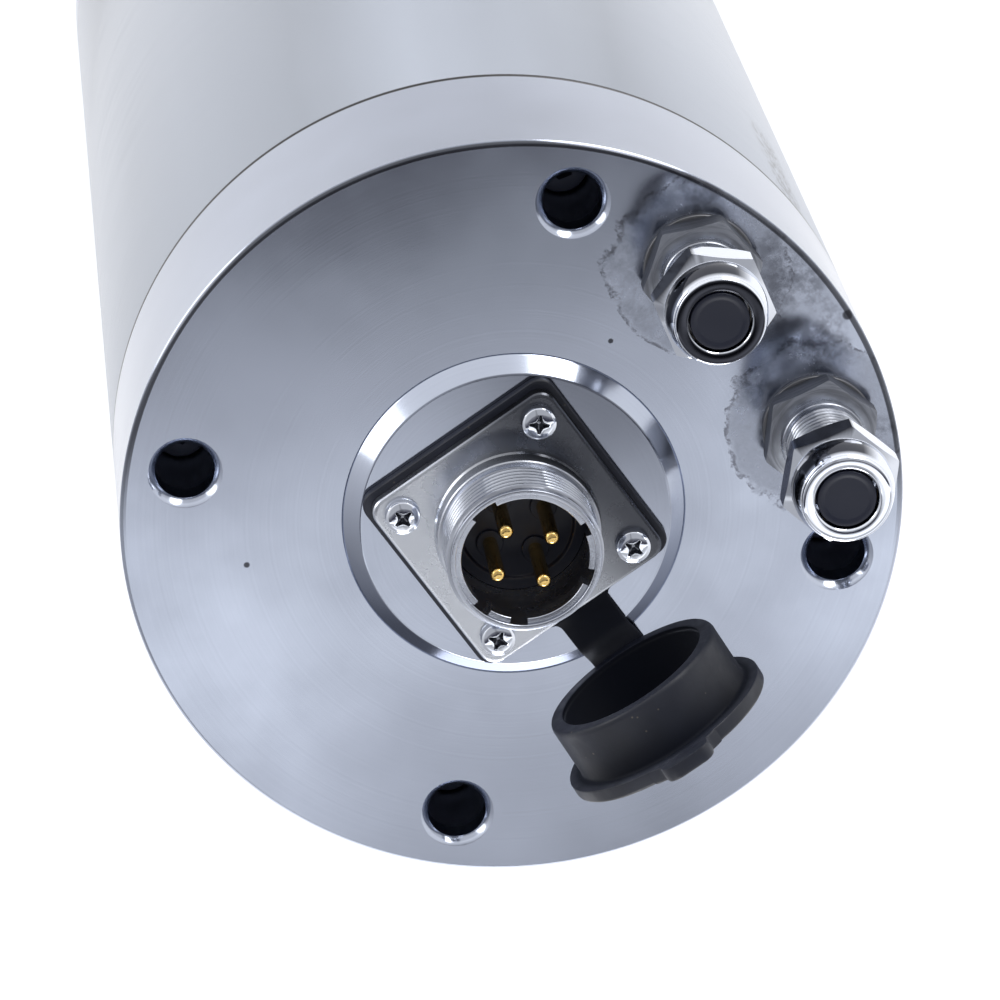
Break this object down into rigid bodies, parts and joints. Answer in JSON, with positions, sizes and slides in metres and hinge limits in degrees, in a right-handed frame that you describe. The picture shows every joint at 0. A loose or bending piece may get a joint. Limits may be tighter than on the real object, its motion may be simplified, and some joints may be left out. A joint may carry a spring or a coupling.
{
  "type": "motor spindle",
  "caption": "Water-cooled high-speed motor spindle with a collet nose, round steel body, threaded connector with a tethered dust cap, and water fittings on the rear cap.",
  "frame": {"origin": "on the spindle axis at the tool end, in the front face of the collet nut", "axes": "+Z along the spindle axis from the tool end to the connector end; +X from the connector towards its dust cap; +Y from the connector towards the water fittings"},
  "size_m": [0.1, 0.1, 0.2853],
  "materials": {
    "satin_steel": "fine satin, turned lengthwise",
    "polished_steel": "mirror polish with faint turning marks",
    "ground_steel": "ground",
    "black_steel": "black oxide",
    "nickel_plate": "nickel plated, bright",
    "chrome_plate": "chrome plated, bright",
    "plain_aluminium": "machined",
    "lamination_steel": "stacked sheet",
    "winding_copper": "varnished copper",
    "plain_brass": "machined",
    "gold_plate": "gold plated, bright",
    "bearing_steel": "ground and polished",
    "cage_plastic": "cloth-filled resin",
    "black_rubber": "matte",
    "black_plastic": "matte",
    "lead_sleeve": "silicone sleeve"
  },
  "bodies": {
    "spindle_body": {"outer_sleeve": "satin_steel", "water_jacket": "plain_aluminium", "jacket_seal_rings": "black_rubber", "stator_core": "lamination_steel", "stator_windings": "winding_copper", "front_bearing_outer_rings": "bearing_steel", "front_outer_spacer": "bearing_steel", "rear_bearing_outer_rings": "bearing_steel", "preload_spring": "ground_steel", "front_housing": "polished_steel", "front_seal_ring": "black_rubber", "front_cap_screws": "black_steel", "front_cover": "polished_steel", "front_cover_screws": "black_steel", "rear_bearing_housing": "plain_aluminium", "rear_bearing_cover": "plain_aluminium", "rear_cover_screws": "black_steel", "rear_cap": "polished_steel", "rear_seal_ring": "black_rubber", "rear_cap_screws": "black_steel", "connector_gasket": "black_rubber", "connector_shell": "nickel_plate", "connector_insert": "black_plastic", "connector_pins": "gold_plate", "connector_screws": "nickel_plate", "dust_cap_strap": "black_rubber", "phase_leads": "lead_sleeve", "inlet_fitting_body": "chrome_plate", "inlet_sealing_washer": "plain_aluminium", "outlet_fitting_body": "chrome_plate", "outlet_sealing_washer": "plain_aluminium"},
    "rotor": {"shaft": "ground_steel", "rotor_core": "lamination_steel", "rotor_end_rings": "plain_aluminium", "balance_rings": "plain_brass", "front_bearing_inner_rings": "bearing_steel", "front_inner_spacer": "bearing_steel", "front_bearing_nut": "black_steel", "rear_bearing_inner_rings": "bearing_steel", "rear_bearing_nut": "black_steel"},
    "front_cages": {"front_bearing_balls": "bearing_steel", "front_bearing_cages": "cage_plastic"},
    "rear_cages": {"rear_bearing_balls": "bearing_steel", "rear_bearing_cages": "cage_plastic"},
    "collet": {"collet": "ground_steel"},
    "collet_nut": {"collet_nut": "ground_steel"},
    "dust_cap": {"dust_cap": "black_rubber"},
    "inlet_ferrule": {"inlet_ferrule": "plain_brass"},
    "inlet_nut": {"inlet_union_nut": "chrome_plate"},
    "inlet_plug": {"inlet_plug": "black_plastic"},
    "outlet_ferrule": {"outlet_ferrule": "plain_brass"},
    "outlet_nut": {"outlet_union_nut": "chrome_plate"},
    "outlet_plug": {"outlet_plug": "black_plastic"}
  },
  "joints": [
    {"name": "rotor_spin", "type": "hinge", "parent": "spindle_body", "child": "rotor", "pos_m": [0, 0, 0.139], "axis": [0, 0, 1], "continuous": true},
    {"name": "front_cage_spin", "type": "hinge", "parent": "spindle_body", "child": "front_cages", "pos_m": [0, 0, 0.065], "axis": [0, 0, 1], "continuous": true},
    {"name": "rear_cage_spin", "type": "hinge", "parent": "spindle_body", "child": "rear_cages", "pos_m": [0, 0, 0.2085], "axis": [0, 0, 1], "continuous": true},
    {"name": "collet_draw", "type": "slide", "parent": "rotor", "child": "collet", "axis": [0, 0, 1], "range_m": [-0.0045, 0]},
    {"name": "collet_nut_turn", "type": "hinge", "parent": "collet", "child": "collet_nut", "pos_m": [0, 0, 0.0095], "axis": [0, 0, 1], "range_deg": [-1080, 0]},
    {"name": "dust_cap_swing", "type": "hinge", "parent": "spindle_body", "child": "dust_cap", "pos_m": [0.0136, 0, 0.2531], "axis": [-0.0398, 0.9942, -0.0994], "range_deg": [-84, 0], "deforming": ["dust_cap_strap", "dust_cap"]},
    {"name": "inlet_nut_lift", "type": "slide", "parent": "spindle_body", "child": "inlet_ferrule", "axis": [0, 0, 1], "range_m": [0, 0.006]},
    {"name": "inlet_nut_turn", "type": "hinge", "parent": "inlet_ferrule", "child": "inlet_nut", "pos_m": [-0.01345, 0.03778, 0.2695], "axis": [0, 0, 1], "range_deg": [0, 2160]},
    {"name": "inlet_plug_pull", "type": "slide", "parent": "inlet_nut", "child": "inlet_plug", "axis": [0, 0, 1], "range_m": [0, 0.008]},
    {"name": "outlet_nut_lift", "type": "slide", "parent": "spindle_body", "child": "outlet_ferrule", "axis": [0, 0, 1], "range_m": [-0.0047, 0.001]},
    {"name": "outlet_nut_turn", "type": "hinge", "parent": "outlet_ferrule", "child": "outlet_nut", "pos_m": [0.01345, 0.03778, 0.2742], "axis": [0, 0, 1], "range_deg": [-1692, 360]},
    {"name": "outlet_plug_pull", "type": "slide", "parent": "outlet_nut", "child": "outlet_plug", "axis": [0, 0, 1], "range_m": [0, 0.008]}
  ],
  "couplings": [
    {"joint": "front_cage_spin", "follows": "rotor_spin", "ratio": 0.4193},
    {"joint": "rear_cage_spin", "follows": "rotor_spin", "ratio": 0.4034},
    {"joint": "collet_draw", "follows": "collet_nut_turn", "m_per_rad": 0.00023873},
    {"joint": "inlet_nut_lift", "follows": "inlet_nut_turn", "m_per_rad": 0.00015915},
    {"joint": "outlet_nut_lift", "follows": "outlet_nut_turn", "m_per_rad": 0.00015915}
  ]
}
